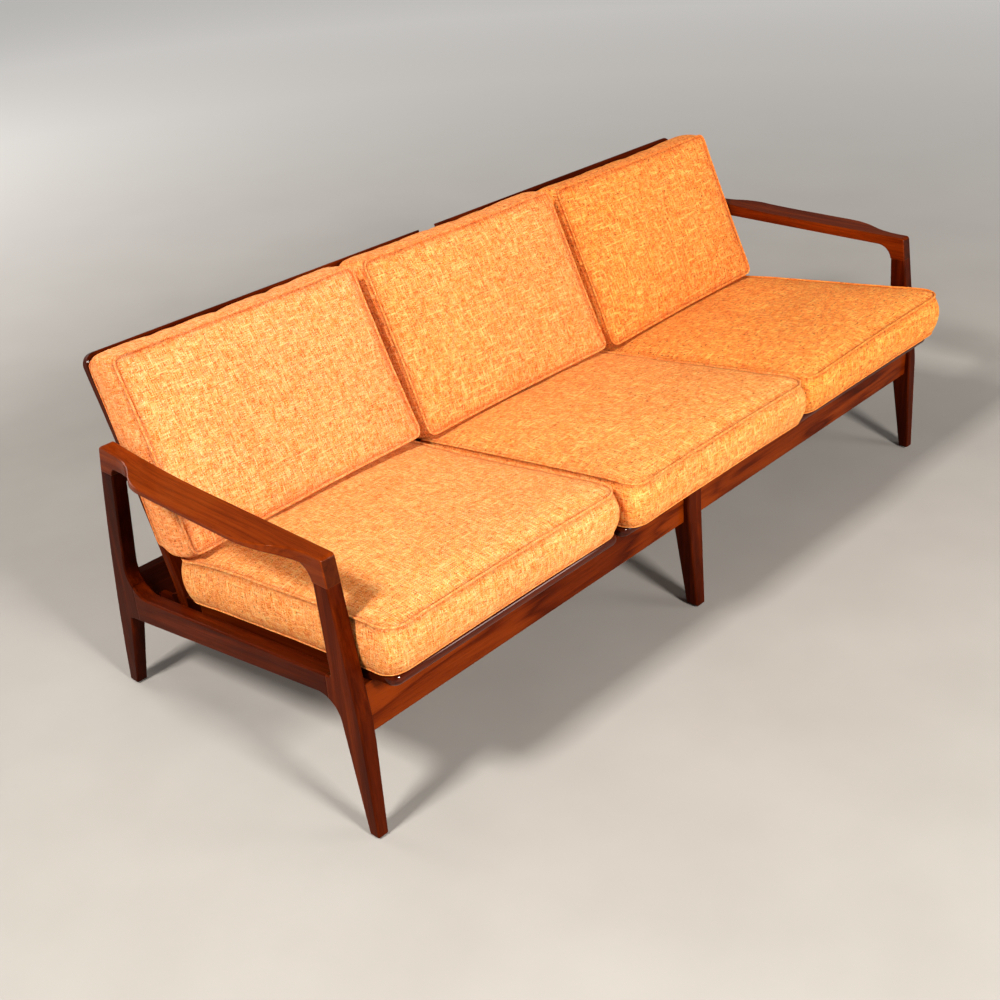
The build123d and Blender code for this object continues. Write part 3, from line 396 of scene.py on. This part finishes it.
# Rubber webbing: ribbed dark straps with a dusty bloom
def rubber():
    made, tree = new_material("rubber_webbing")
    place = node(tree, "ShaderNodeTexCoord").outputs["Object"]
    inputs = {"Vector": place, "Scale": 130.0, "Distortion": 0.4}
    ribs = node(tree, "ShaderNodeTexWave", inputs, bands_direction="Y")
    dust = noise(tree, place, 35.0, 4.0, 0.6)
    colour = ramp(tree, dust, [(0.3, (0.012, 0.008, 0.005)), (0.7, (0.036, 0.025, 0.016))])
    rough = span(tree, dust, 0.3, 0.7, 0.60, 0.85)
    bump = node(tree, "ShaderNodeBump", {"Strength": 0.4, "Distance": 0.0006, "Height": ribs.outputs["Fac"]})
    finish_material(tree, node(tree, "ShaderNodeBsdfPrincipled", {
        "Base Color": colour, "Roughness": rough, "Normal": bump.outputs[0], "Specular IOR Level": 0.12}))
    return made


# Steel: a little dull and spotted
def steel():
    made, tree = new_material("steel")
    place = node(tree, "ShaderNodeTexCoord").outputs["Object"]
    spots = noise(tree, place, 160.0, 4.0, 0.6)
    colour = ramp(tree, spots, [(0.3, (0.33, 0.32, 0.30)), (0.7, (0.60, 0.60, 0.60))])
    rough = span(tree, spots, 0.3, 0.7, 0.5, 0.28)
    bump = node(tree, "ShaderNodeBump", {"Strength": 0.1, "Distance": 0.0002, "Height": spots})
    finish_material(tree, node(tree, "ShaderNodeBsdfPrincipled", {
        "Base Color": colour, "Roughness": rough, "Metallic": 1.0, "Normal": bump.outputs[0]}))
    return made


# Floor: pale and plain; far off it is painted paler and glows faintly, painted light where the lamps reach
# less
def floor_material():
    made, tree = new_material("floor")
    place = node(tree, "ShaderNodeTexCoord").outputs["Object"]
    reach = node(tree, "ShaderNodeVectorMath", {0: place}, operation="LENGTH").outputs["Value"]
    grain = noise(tree, place, 3.0, 4.0, 0.5)
    colour = ramp(tree, grain, [(0.3, (0.37, 0.35, 0.325)), (0.7, (0.40, 0.38, 0.355))])
    colour = mix(tree, span(tree, reach, 1.5, 5.0), colour, far_floor_painted_light)
    painted_glow = span(tree, reach, 1.8, 7.0, 0.0, floor_painted_glow)
    finish_material(tree, node(tree, "ShaderNodeBsdfPrincipled", {
        "Base Color": colour, "Roughness": 0.75, "Specular IOR Level": 0.2,
        "Emission Color": studio_white, "Emission Strength": painted_glow}))
    return made


# Grain runs along each piece
axis_of = {joint["name"]: Vector(joint["axis"]).normalized() for joint in frame["joints"]}
seat_along = -axis_of["left_seat_slide"]
back_along = axis_of["left_back_lift"]
grain_of = {
    "arm": (0, 1, 0), "front_leg": (0, 0, 1), "rear_leg": (0, 0, 1), "side_rail": (0, 1, -0.15),
    "seat_cleat": (0, 1, 0), "seat_bearer": (0, 1, 0), "front_rail": (1, 0, 0), "rear_rail": (1, 0, 0),
    "middle_front_leg": (0, 0, 1), "middle_rear_leg": (0, 0, 1), "loose_tenons": (1, 0, 0),
}


def grain_for(name):
    if name.startswith("seat_frame"):
        return tuple(seat_along) if "_side_" in name else (1, 0, 0)
    if name.startswith("back_frame"):
        return tuple(back_along) if "stile" in name else (1, 0, 0)
    if name.startswith("back_slats"):
        return tuple(back_along)
    for start in sorted(grain_of, key=len, reverse=True):
        if name.startswith(start):
            return tuple(Vector(grain_of[start]).normalized())
    return (1, 0, 0)


def dress(obj, made):
    obj.data.materials.clear()
    obj.data.materials.append(made)


rubber_look = rubber()
steel_look = steel()
wood_looks = {}
for order, (name, obj) in enumerate(sorted(nodes.items())):
    if "cushion" in name:
        continue
    if name.startswith("webbing"):
        dress(obj, rubber_look)
    elif name in ("foot_glides", "back_bolts"):
        dress(obj, steel_look)
    else:
        is_nose = name.startswith("seat_frame") and name.endswith("_front")
        polish = nose_polish if is_nose else polish_of.get(name, plain_polish)
        figure = figure_of.get(name, plain_figure)
        tone_and_light_lift = tone_and_painted_light_of.get(name, 0.0)
        wood_looks[name] = wood(f"wood_{name}", grain_for(name), board_step * order, figure, tone_and_light_lift, polish)
        dress(obj, wood_looks[name])


def build_mesh(name, points, faces, made, weave=None):
    mesh = bpy.data.meshes.new(name)
    mesh.from_pydata([tuple(p) for p in points], [], faces)
    if weave:
        layer = mesh.uv_layers.new(name="weave")
        layer.data.foreach_set("uv", [value for face in weave for pair in face for value in pair])
    mesh.polygons.foreach_set("use_smooth", [True] * len(mesh.polygons))
    mesh.materials.append(made)
    mesh.update()
    obj = bpy.data.objects.new(name, mesh)
    scene.collection.objects.link(obj)
    return obj


def smoothed(piece):
    smooth = piece.modifiers.new("smooth", "SUBSURF")
    smooth.levels = 1
    smooth.render_levels = 1


# Seat frame fronts: a bullnose that wraps round both front corners and dies away along the ends
nose_corner = 0.020
nose_turns = 12
nose_steps = 10


def bullnose(name):
    node_name = f"seat_frame_{name}_front"
    points = np.array([v.co for v in nodes[node_name].data.vertices])
    above = Vector((1, 0, 0)).cross(seat_along)
    run = points @ np.array(seat_along)
    rise = points @ np.array(above)
    near, far = run.min(), run.max()
    middle = (points[:, 0].min() + points[:, 0].max()) / 2
    half = (points[:, 0].max() - points[:, 0].min()) / 2
    radius = (rise.max() - rise.min()) / 2
    stations = []
    for step in range(nose_steps):
        share = step / nose_steps
        stations.append((-half, far - share * (far - near - nose_corner), -1.0, 0.0, share ** 0.6))
    for step in range(nose_steps + 1):
        angle = math.pi / 2 * step / nose_steps
        x = -half + nose_corner - nose_corner * math.cos(angle)
        y = near + nose_corner - nose_corner * math.sin(angle)
        stations.append((x, y, -math.cos(angle), -math.sin(angle), 1.0))
    mirrored = [(-x, y, -out_x, out_y, share) for x, y, out_x, out_y, share in stations[::-1]]
    stations += mirrored
    verts = []
    for x, y, out_x, out_y, share in stations:
        for turn in range(nose_turns + 1):
            angle = math.pi * (turn / nose_turns - 0.5)
            inset = radius * (1 - math.cos(angle)) * share
            spot = Vector((middle + x - out_x * inset, 0, 0)) + seat_along * (y - out_y * inset)
            verts.append(spot + above * (rise.min() + radius + radius * math.sin(angle)))
    rows = nose_turns + 1
    count = len(stations)
    faces = []
    for k in range(count - 1):
        for turn in range(nose_turns):
            a = k * rows + turn
            faces.append([a, a + rows, a + rows + 1, a + 1])
    faces.append([k * rows + nose_turns for k in range(count)])
    faces.append([k * rows for k in range(count)][::-1])
    faces.append([turn for turn in range(rows)] + [(count - 1) * rows + turn for turn in range(rows)][::-1])
    piece = build_mesh(f"seat_frame_{name}_nose", verts, faces, wood_looks[node_name])
    piece.data.polygons[-1].use_smooth = False
    rim = set(piece.data.polygons[-1].edge_keys)
    for edge in piece.data.edges:
        edge.use_edge_sharp = tuple(sorted(edge.vertices)) in rim
    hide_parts(node_name)
    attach(piece, "frame")


for name in places:
    bullnose(name)


# Cushions
def rounded(x, y, half_x, half_y, corner):
    """A grid point of a cushion's plan, with its corners turned and its sides drawn in."""
    flat_x = half_x - corner
    flat_y = half_y - corner
    over_x = max(0.0, (abs(x) - flat_x) / corner)
    over_y = max(0.0, (abs(y) - flat_y) / corner)
    new_x = abs(x)
    new_y = abs(y)
    if over_x and over_y:
        new_x = flat_x + corner * over_x * math.sqrt(1 - over_y * over_y / 2)
        new_y = flat_y + corner * over_y * math.sqrt(1 - over_x * over_x / 2)
    draw_x = 1 - cushion_draw / half_x * (1 - (y / half_y) ** 2)
    draw_y = 1 - cushion_draw / half_y * (1 - (x / half_x) ** 2)
    return math.copysign(new_x * draw_x, x), math.copysign(new_y * draw_y, y)


def side_inset(share):
    """How far a boxing row lies in from the widest line, from the seam (0) to the base (1)."""
    if share < 0.5:
        return middle_inset + (seam_inset - middle_inset) * (1 - 2 * share) ** 2
    return middle_inset + (base_inset - middle_inset) * (2 * share - 1) ** 2.4


def grid_lines(length):
    """Places of the mesh lines along a side, from 0 to 1, close together beside the seams."""
    inner = seam_lines[-1]
    count = round((length - 2 * inner) / cell)
    middle = list(np.linspace(inner, length - inner, count + 1))
    low = [0.0, *seam_lines[:-1]]
    return np.array(low + middle + [length - place for place in low[::-1]]) / length


def cushion_shape(width, size):
    """A boxed cushion: vertices, quads, weave coordinates, groove shares, pinned points, two seam loops."""
    depth, height, crown = size["depth"], size["height"], size["crown"]
    seam_corner, middle_corner = size["corner"], size["middle"]
    xs = grid_lines(width)
    ys = grid_lines(depth)
    zs = grid_lines(height)
    last_x, last_y, rows = len(xs) - 1, len(ys) - 1, len(zs) - 1
    verts = []
    grooves = []
    pinned = []
    index = {}

    def put(key, point, groove, pin):
        index[key] = len(verts)
        verts.append(point)
        grooves.append(groove)
        pinned.append(pin)

    def grid(i, j, inset, corner):
        half_x = width / 2 - inset
        half_y = depth / 2 - inset
        return rounded((2 * xs[i] - 1) * half_x, (2 * ys[j] - 1) * half_y, half_x, half_y, corner)

    def ring_of(i, j):
        return min(i, j, last_x - i, last_y - j)

    for j in range(last_y + 1):
        for i in range(last_x + 1):
            x, y = grid(i, j, seam_inset, seam_corner)
            dome = (1 - abs(2 * xs[i] - 1) ** 2.8) * (1 - abs(2 * ys[j] - 1) ** 2.8)
            groove = groove_shares.get(ring_of(i, j), 0.0)
            put(("top", i, j), (x, y, height + crown * dome), groove, ring_of(i, j) == 0)
    ring = [(i, 0) for i in range(last_x)] + [(last_x, j) for j in range(last_y)]
    ring += [(i, last_y) for i in range(last_x, 0, -1)] + [(0, j) for j in range(last_y, 0, -1)]
    for row in range(1, rows):
        corner = seam_corner + (middle_corner - seam_corner) * math.sin(math.pi * zs[row])
        for i, j in ring:
            x, y = grid(i, j, side_inset(zs[row]), corner)
            groove = 0.8 * groove_shares.get(min(row, rows - row), 0.0)
            put((row, i, j), (x, y, height * (1 - zs[row])), groove, False)
    for j in range(last_y + 1):
        for i in range(last_x + 1):
            x, y = grid(i, j, base_inset, seam_corner)
            groove = 0.5 * groove_shares.get(ring_of(i, j), 0.0)
            put(("base", i, j), (x, y, 0.0), groove, True)

    faces = []
    weave = []

    def quad(keys, coords):
        faces.append([index[key] for key in keys])
        weave.append(coords)

    for j in range(last_y):
        for i in range(last_x):
            cells = [(i, j), (i + 1, j), (i + 1, j + 1), (i, j + 1)]
            coords = [(xs[a] * width, ys[b] * depth) for a, b in cells]
            quad([("top", a, b) for a, b in cells], coords)
            quad([("base", a, b) for a, b in cells[::-1]], coords[::-1])
    lengths = [0.0]
    for k, (i, j) in enumerate(ring):
        to_i, to_j = ring[(k + 1) % len(ring)]
        lengths.append(lengths[-1] + abs(xs[to_i] - xs[i]) * width + abs(ys[to_j] - ys[j]) * depth)

    def level(row, spot):
        if row == 0:
            return ("top", *spot)
        if row == rows:
            return ("base", *spot)
        return (row, *spot)

    for row in range(rows):
        upper = 3.0 + height * (1 - zs[row])
        lower = 3.0 + height * (1 - zs[row + 1])
        for k, spot in enumerate(ring):
            after = ring[(k + 1) % len(ring)]
            keys = [level(row + 1, spot), level(row + 1, after), level(row, after), level(row, spot)]
            start, end = lengths[k], lengths[k + 1]
            quad(keys, [(start, lower), (end, lower), (end, upper), (start, upper)])
    loops = [[index[level(row, spot)] for spot in ring] for row in (0, rows)]
    return np.array(verts), faces, weave, np.array(grooves), np.array(pinned), loops


def simulate(obj, pinned):
    """Swell the cover by cloth with pressure, held at its seams, with each point's travel capped."""
    start = np.empty(len(obj.data.vertices) * 3)
    obj.data.vertices.foreach_get("co", start)
    start = start.reshape(-1, 3)
    held = obj.vertex_groups.new(name="held")
    held.add([int(k) for k in np.flatnonzero(pinned)], 1.0, "REPLACE")
    cloth = obj.modifiers.new("swell", "CLOTH")
    settings = cloth.settings
    settings.quality = 6
    settings.mass = 0.05
    settings.tension_stiffness = 30.0
    settings.compression_stiffness = 30.0
    settings.shear_stiffness = 12.0
    settings.bending_stiffness = 0.4
    settings.shrink_min = -0.012
    settings.use_pressure = True
    settings.uniform_pressure_force = 4.0
    settings.effector_weights.gravity = 0.0
    settings.vertex_group_mass = "held"
    cloth.point_cache.frame_start = 1
    cloth.point_cache.frame_end = swell_frames
    for step in range(1, swell_frames + 1):
        scene.frame_set(step)
    seen = obj.evaluated_get(bpy.context.evaluated_depsgraph_get())
    moved = np.empty(len(seen.data.vertices) * 3)
    seen.data.vertices.foreach_get("co", moved)
    moved = moved.reshape(-1, 3)
    obj.modifiers.remove(cloth)
    obj.vertex_groups.remove(held)
    scene.frame_set(1)
    travel = moved - start
    length = np.linalg.norm(travel, axis=1)
    limit = swell_cap * np.tanh(length / swell_cap) / np.maximum(length, 1e-9)
    return start + travel * limit[:, None]


def settle(piece, points, grooves, pinned, seed):
    """Slack in the cover, and a groove sunk beside each seam."""
    piece.data.vertices.foreach_set("co", points.ravel())
    piece.data.update()
    normals = np.empty(len(points) * 3)
    piece.data.vertices.foreach_get("normal", normals)
    normals = normals.reshape(-1, 3)
    slack = np.empty(len(points))
    for k, point in enumerate(points):
        spot = Vector(point) + Vector((seed, 2 * seed, 0))
        slack[k] = sum(depth * fields.noise(spot * scale) for depth, scale in slack_waves)
    slack[pinned] *= seam_slack
    return points + normals * (slack - groove_depth * grooves)[:, None]


def tube(points, outward, radius, sides):
    """Vertices and quads of a closed tube round a loop of points."""
    count = len(points)
    ahead = np.roll(points, -1, axis=0) - np.roll(points, 1, axis=0)
    ahead /= np.linalg.norm(ahead, axis=1)[:, None]
    first = outward - ahead * (outward * ahead).sum(1)[:, None]
    first /= np.linalg.norm(first, axis=1)[:, None]
    second = np.cross(ahead, first)
    verts = []
    for side in range(sides):
        angle = 2 * math.pi * side / sides
        verts.append(points + radius * (math.cos(angle) * first + math.sin(angle) * second))
    verts = np.stack(verts, axis=1).reshape(-1, 3)
    lengths = np.linalg.norm(np.roll(points, -1, axis=0) - points, axis=1)
    run = np.concatenate([[0.0], np.cumsum(lengths)])
    faces = []
    weave = []
    girth = 2 * math.pi * radius / sides
    for k in range(count):
        after = (k + 1) % count
        for side in range(sides):
            turn = (side + 1) % sides
            faces.append([k * sides + side, after * sides + side, after * sides + turn, k * sides + turn])
            low, high = side * girth, (side + 1) * girth
            weave.append([(run[k] + low, low - run[k]), (run[k + 1] + low, low - run[k + 1]),
                          (run[k + 1] + high, high - run[k + 1]), (run[k] + high, high - run[k])])
    return verts, faces, weave


def cushion_axes(kind, name):
    """Origin and axes of a cushion, with the origin under the middle of its plan."""
    points = np.array([v.co for v in nodes[f"{kind}_cushion_{name}"].data.vertices])
    middle = (points[:, 0].min() + points[:, 0].max()) / 2
    size = cushion_sizes[kind]
    along = Vector(seat_along if kind == "seat" else back_along)
    up = Vector((1, 0, 0)).cross(along)
    base = (points @ np.array(up)).min()
    if kind == "seat":
        low = (points @ np.array(along)).min()
        centre = low + size["depth"] / 2
        return Vector((middle, 0, 0)) + along * centre + up * base, along, up
    high = (points @ np.array(along)).max()
    lean = math.atan(size["lean"])
    leaning = along * math.cos(lean) - up * math.sin(lean)
    above = Vector((1, 0, 0)).cross(leaning)
    reach = size["depth"]
    foot_rise = reach * size["lean"]
    top_rear = along * high + up * base
    near = top_rear - leaning * reach - above * foot_rise
    return Vector((middle, 0, 0)) + near + leaning * (reach / 2), leaning, above


def fit_seat(points, size, lie):
    """Round a seat cushion over the front rail, and let its sides and rear settle as it lies."""
    depth, height = size["depth"], size["height"]
    x, y, z = points.T
    half = np.abs(x).max()
    share = np.clip(y / depth + 0.5, 0, 1)
    level = np.clip(z / height, 0, 1)
    front = np.clip(1 - share * depth / (front_curve[0] + front_curve[1] * level), 0, 1)
    rear = np.clip((share - rear_zone[0]) / rear_zone[1], 0, 1)
    left = np.clip((-x / half - left_zone[0]) / left_zone[1], 0, 1)
    edge = np.clip((-x / half - edge_zone[0]) / edge_zone[1], 0, 1)
    y = y + size["tuck"] * (1 - level) ** 2.2 * np.clip(1 - 3 * share, 0, 1)
    z = z - size["lip"] * level * front ** 2
    z = z - level * rear ** 2 * (lie["press"] + lie["sag"] * left ** 2)
    z = z - lie["droop"] * edge * (0.35 + 0.65 * share) + lie["roll"] * level * x / half
    return np.stack([x, y, z], axis=1)


def fit_back(points, size, lie):
    """Taper a back cushion to its top and shear its underside, then let its foot spread, drop and bulge."""
    depth, height = size["depth"], size["height"]
    x, y, z = points.T
    half = np.abs(x).max()
    share = np.clip(y / depth + 0.5, 0, 1)
    level = np.clip(z / height, 0, 1)
    thin = 1 - size["lean"] * share * depth / height
    z = np.where(z < height, height - (height - z) * thin, z)
    y = y + (1 - share) * (height - np.minimum(z, height)) * size["shear"]
    y = y + size["rise"] * share ** 3 * np.clip(1.6 * (1 - level), 0, 1)
    y = y - lie["foot"] * (1 - share) * (1 - lie["tilt"] * x / half) - lie["down"]
    y = y - lie["bulge"] * (1 - share) ** 3 * np.sqrt(np.clip(4 * level * (1 - level), 0, 1))
    x = x * (1 + lie["spread"] / half * (1 - share))
    return np.stack([x, y, z], axis=1)


def cushion(kind, name, seed):
    size = cushion_sizes[kind]
    low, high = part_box(f"{kind}_cushion_{name}")
    lie = seat_lies[name] if kind == "seat" else back_lies[name]
    width = high.x - low.x - lie["trim"]
    points, faces, weave, grooves, pinned, loops = cushion_shape(width, size)
    # The tone paints light and shade onto this cushion's cloth
    tone = tuple(own * shared for own, shared in zip(painted_light_tones[name], painted_light_by_kind[kind]))
    made = tweed(f"tweed_{kind}_{name}", seed, tone, heather[name])
    piece = build_mesh(f"{kind}_cushion_{name}_cover", points, faces, made, weave)
    points = simulate(piece, pinned)
    points = settle(piece, points, grooves, pinned, seed)
    points[:, 0] = np.clip(points[:, 0], -width / 2, width / 2)
    points[:, 2] = np.maximum(points[:, 2], 0.0)
    points = fit_seat(points, size, lie) if kind == "seat" else fit_back(points, size, lie)
    origin, along, up = cushion_axes(kind, name)
    origin.x += lie["aside"]
    turn = np.array([(1, 0, 0), tuple(along), tuple(up)])
    placed = points @ turn + np.array(origin)
    piece.data.vertices.foreach_set("co", placed.ravel())
    # The groove shares are also kept on the cover, where they paint shade beside its seams
    seam_shade_values = piece.data.attributes.new("seam", "FLOAT", "POINT")
    seam_shade_values.data.foreach_set("value", grooves)
    crease = piece.data.attributes.new("crease_edge", "FLOAT", "EDGE")
    seams = {tuple(sorted(pair)) for loop in loops for pair in zip(loop, loop[1:] + loop[:1])}
    crease.data.foreach_set("value", [seam_crease if tuple(sorted(edge.vertices)) in seams else 0.0
                                      for edge in piece.data.edges])
    piece.data.update()
    smoothed(piece)
    body = f"{name}_{kind}_cushion"
    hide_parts(f"{kind}_cushion_{name}", f"{kind}_cushion_{name}_foam")
    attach(piece, body)
    centre = placed.mean(axis=0)
    for which, loop in zip(("face", "rear"), loops):
        line = placed[loop]
        outward = line - centre
        outward -= np.array(up) * (outward @ np.array(up))[:, None]
        outward /= np.linalg.norm(outward, axis=1)[:, None]
        rise = np.array(up) * welt_lifts[which]
        radius = welt_shares[which] * welt_radius
        line = line + (outward * welt_proud + rise) * radius
        tube_points, tube_faces, tube_weave = tube(line, outward, radius, welt_sides)
        welt = build_mesh(f"{kind}_cushion_{name}_{which}_welt", tube_points, tube_faces, made, tube_weave)
        smoothed(welt)
        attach(welt, body)


for kind, first_seed in first_seeds.items():
    for order, name in enumerate(places):
        cushion(kind, name, first_seed + seed_step * order)

# Floor, light and camera
bpy.ops.mesh.primitive_plane_add(size=floor_size, location=(0, 0, 0))
ground = bpy.context.object
ground.name = "floor"
dress(ground, floor_material())

# The studio walls are paler low down than overhead
world = bpy.data.worlds.new("studio")
world.use_nodes = True
sky = world.node_tree
outlook = node(sky, "ShaderNodeTexCoord").outputs["Generated"]
upward = node(sky, "ShaderNodeSeparateXYZ", {0: outlook}).outputs[2]
light = span(sky, upward, 0.0, wall_top, wall_light, ceiling_light)
sky.nodes["Background"].inputs["Color"].default_value = studio_white
sky.links.new(light, sky.nodes["Background"].inputs["Strength"])
scene.world = world
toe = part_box("front_leg_left")[0].y


def softbox(name, place, aim, size, power, colour):
    data = bpy.data.lights.new(name, "AREA")
    data.shape = "RECTANGLE"
    data.size, data.size_y = size
    data.energy = power
    data.color = colour
    obj = bpy.data.objects.new(name, data)
    obj.location = place
    obj.rotation_euler = (Vector(aim) - Vector(place)).to_track_quat("-Z", "Y").to_euler()
    scene.collection.objects.link(obj)


# Name, place, aim, size in metres, power in watts and colour of each lamp
softbox("key_left", (-3.9, toe + 0.1, 4.2), (-0.2, 0, 0.4), (0.8, 0.8), 300.0, warm_light)
softbox("key_front", (-1.1, toe - 4.0, 2.7), (-0.1, 0, 0.4), (0.8, 0.8), 258.0, warm_light)
softbox("fill_front", (1.9, toe - 3.2, 1.3), (-0.1, -0.2, 0.35), (1.3, 1.0), 50.0, warm_light)
softbox("fill_rear", (-1.2, 5.4, 2.6), (0.6, 1.2, 0.3), (3.0, 1.6), 120.0, soft_light)

# The camera stands where the photo was taken
data = bpy.data.cameras.new("camera")
data.lens = camera_lens
data.sensor_width = camera_sensor
data.clip_end = 200.0
camera = bpy.data.objects.new("camera", data)
turn = Matrix(camera_axes).transposed()
spot = Vector(camera_from_toe) + Vector((0, toe, 0))
camera.matrix_world = Matrix.Translation(spot) @ turn.to_4x4()
scene.collection.objects.link(camera)
scene.camera = camera
scene.view_settings.view_transform = "Standard"
scene.view_settings.look = "Medium High Contrast"
scene.view_settings.exposure = view_exposure
